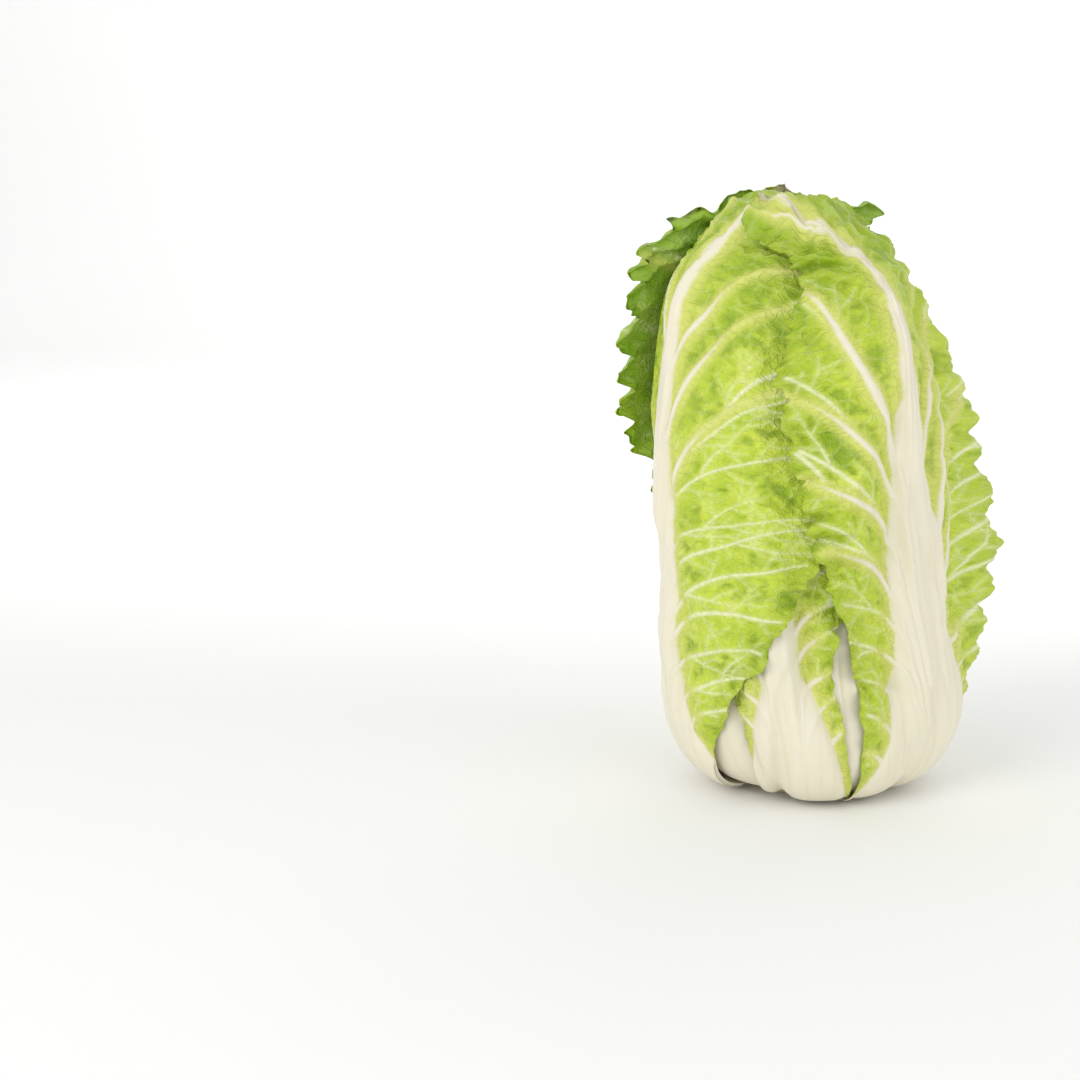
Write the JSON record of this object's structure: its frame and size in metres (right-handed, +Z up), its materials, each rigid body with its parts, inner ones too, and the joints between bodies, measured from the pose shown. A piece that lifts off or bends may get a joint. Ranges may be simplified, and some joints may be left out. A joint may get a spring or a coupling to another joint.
{
  "type": "napa cabbage",
  "caption": "Whole upright head of napa cabbage: a dense heart wrapped in crinkled green leaves with broad white stalks, standing on its cut stem.",
  "frame": {"origin": "centre of the flat cut face under the stem, on the surface that the head stands on", "axes": "+Z up the head from the cut stem to the crown, -Y towards the front of the head, +X to its right as seen from the front"},
  "size_m": [0.1914, 0.1624, 0.2798],
  "materials": {
    "stem_cut": "cut, slightly moist",
    "heart_leaf": "crinkled, satin",
    "wrapper_leaf": "crinkled, satin",
    "leaf": "crinkled blade with a smooth white stalk, satin"
  },
  "bodies": {
    "root": {"cut_stem": "stem_cut", "heart": "heart_leaf", "leaf_01_wrapper": "wrapper_leaf", "leaf_02_front_right": "leaf", "leaf_03_left": "leaf", "leaf_04_back_right": "leaf", "leaf_05_front": "leaf", "leaf_06_back_left": "leaf", "leaf_07_right": "leaf", "leaf_08_front_left": "leaf", "leaf_09_back": "leaf", "leaf_10_inner_front": "leaf", "leaf_11_inner_left": "leaf"}
  },
  "joints": []
}
